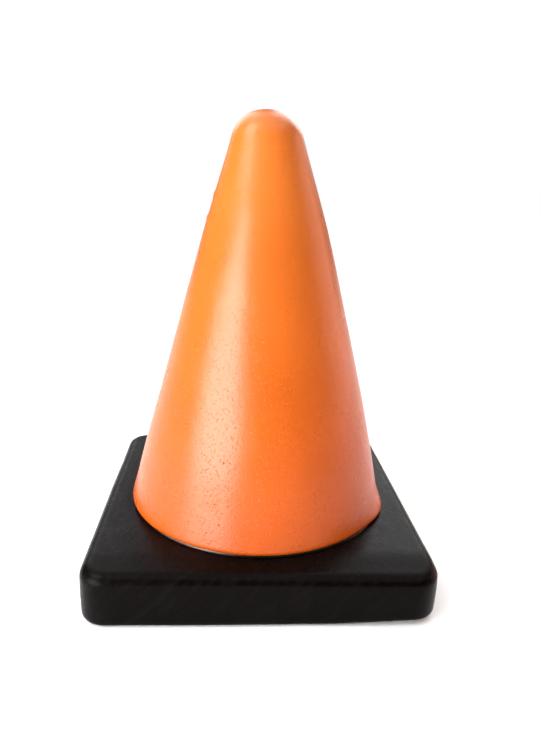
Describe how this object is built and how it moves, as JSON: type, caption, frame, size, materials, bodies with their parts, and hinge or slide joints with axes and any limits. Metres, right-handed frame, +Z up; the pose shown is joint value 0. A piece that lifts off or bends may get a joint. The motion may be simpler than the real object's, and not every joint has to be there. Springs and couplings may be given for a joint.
{
  "type": "miniature foam traffic cone",
  "caption": "Desk-size soft foam traffic cone: smooth orange cone with a closed domed tip, glued into a socket in a thick square black foam base with rounded corners.",
  "frame": {"origin": "middle of the flat underside, at the height of the surface that the base stands on", "axes": "+Z up along the cone's axis; X and Y square to the base's sides"},
  "size_m": [0.0724, 0.0724, 0.1],
  "materials": {
    "orange_skin": "satin orange integral skin of flexible polyurethane foam, with fine orange peel and a few pinholes",
    "cone_foam": "open flexible polyurethane foam, matte pale orange",
    "black_skin": "satin black integral skin of flexible polyurethane foam",
    "base_foam": "open flexible polyurethane foam, matte dark grey",
    "adhesive": "flexible amber contact adhesive",
    "bead": "glossy black flexible sealing bead"
  },
  "bodies": {
    "root": {"cone_skin": "orange_skin", "cone_core": "cone_foam", "base_skin": "black_skin", "base_core": "base_foam", "adhesive_bond": "adhesive", "foot_bead": "bead"}
  },
  "joints": []
}
